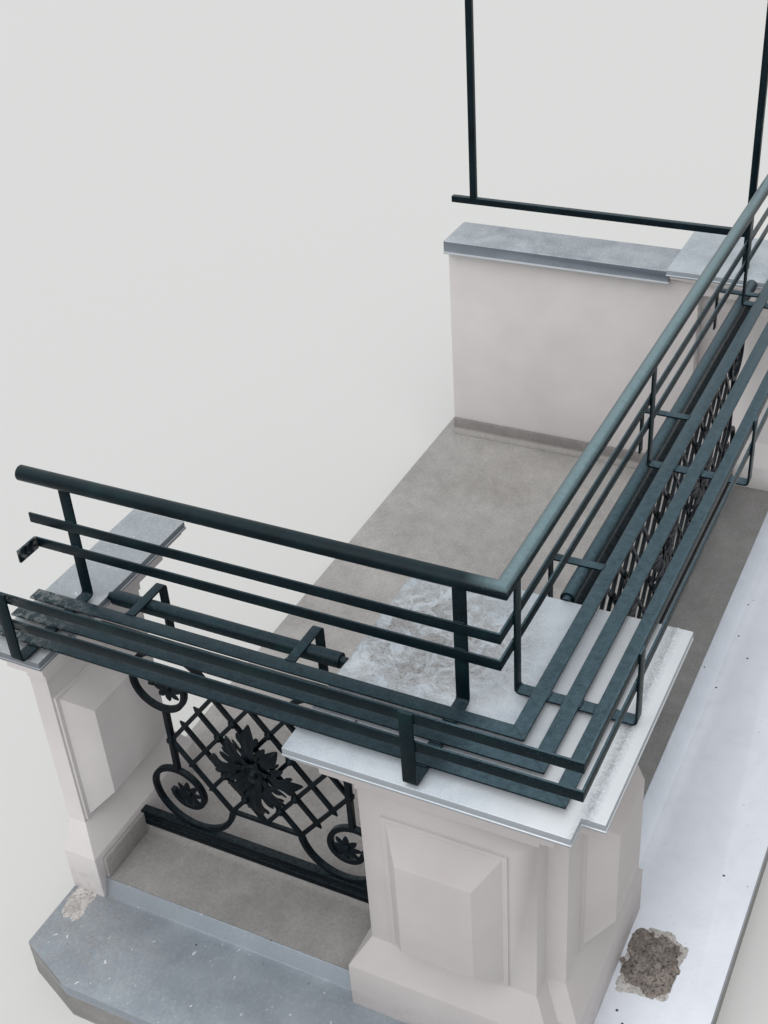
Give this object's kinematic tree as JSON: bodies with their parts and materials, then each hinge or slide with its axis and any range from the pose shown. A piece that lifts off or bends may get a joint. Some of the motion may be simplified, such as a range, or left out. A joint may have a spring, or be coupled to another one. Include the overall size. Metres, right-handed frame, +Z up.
{
  "type": "corner balcony with iron railing",
  "caption": "L-shaped balcony: masonry piers with zinc caps, ornamental iron lattice panels, tubular handrail and an outrigger flower-box tray of flat bars.",
  "frame": {"origin": "middle of the whole in plan, on the flat underside of the slab", "axes": "+X along the facade from the corner pier to the far pier, +Y towards the house wall, +Z up"},
  "size_m": [3.476, 1.911, 2.2],
  "materials": {
    "green_iron": "dark green gloss paint on steel tube and flat bar",
    "old_iron": "old wrought and cast iron, painted near-black green",
    "zinc": "weathered zinc sheet, mottled and dull",
    "painted_plaster": "smooth render with matt warm grey-white paint",
    "concrete": "worn screed",
    "skirting": "grey cement skirting, trowelled"
  },
  "bodies": {
    "root": {"balcony_slab": "concrete", "ledge_flashing": "zinc", "corner_pier_cap": "zinc", "wall_pier_cap": "zinc", "far_pier_cap": "zinc", "divider_coping": "zinc", "wall_skirting": "skirting", "divider_skirting": "skirting", "corner_pier": "painted_plaster", "wall_pier": "painted_plaster", "far_pier": "painted_plaster", "divider_wall": "painted_plaster", "screen_frame": "green_iron", "handrail": "green_iron", "upper_rail": "green_iron", "lower_rail": "green_iron", "wall_tab": "green_iron", "side_bracket_1": "green_iron", "side_bracket_2": "green_iron", "front_bracket_1": "green_iron", "front_bracket_2": "green_iron", "front_bracket_3": "green_iron", "front_bracket_4": "green_iron", "tray_bar_inner": "green_iron", "tray_bar_middle": "green_iron", "tray_bar_outer": "green_iron", "outer_rail_upper": "green_iron", "outer_rail_lower": "green_iron", "side_hook_straps": "green_iron", "front_hook_straps": "green_iron", "side_spacer_tube": "green_iron", "front_spacer_tube": "green_iron", "side_top_rail": "old_iron", "side_bottom_rail": "old_iron", "side_scrolls": "old_iron", "side_lattice": "old_iron", "side_flower": "old_iron", "side_rosettes": "old_iron", "front_top_rail": "old_iron", "front_bottom_rail": "old_iron", "front_scrolls": "old_iron", "front_lattice": "old_iron", "front_flowers": "old_iron", "front_rosettes": "old_iron"}
  },
  "joints": []
}
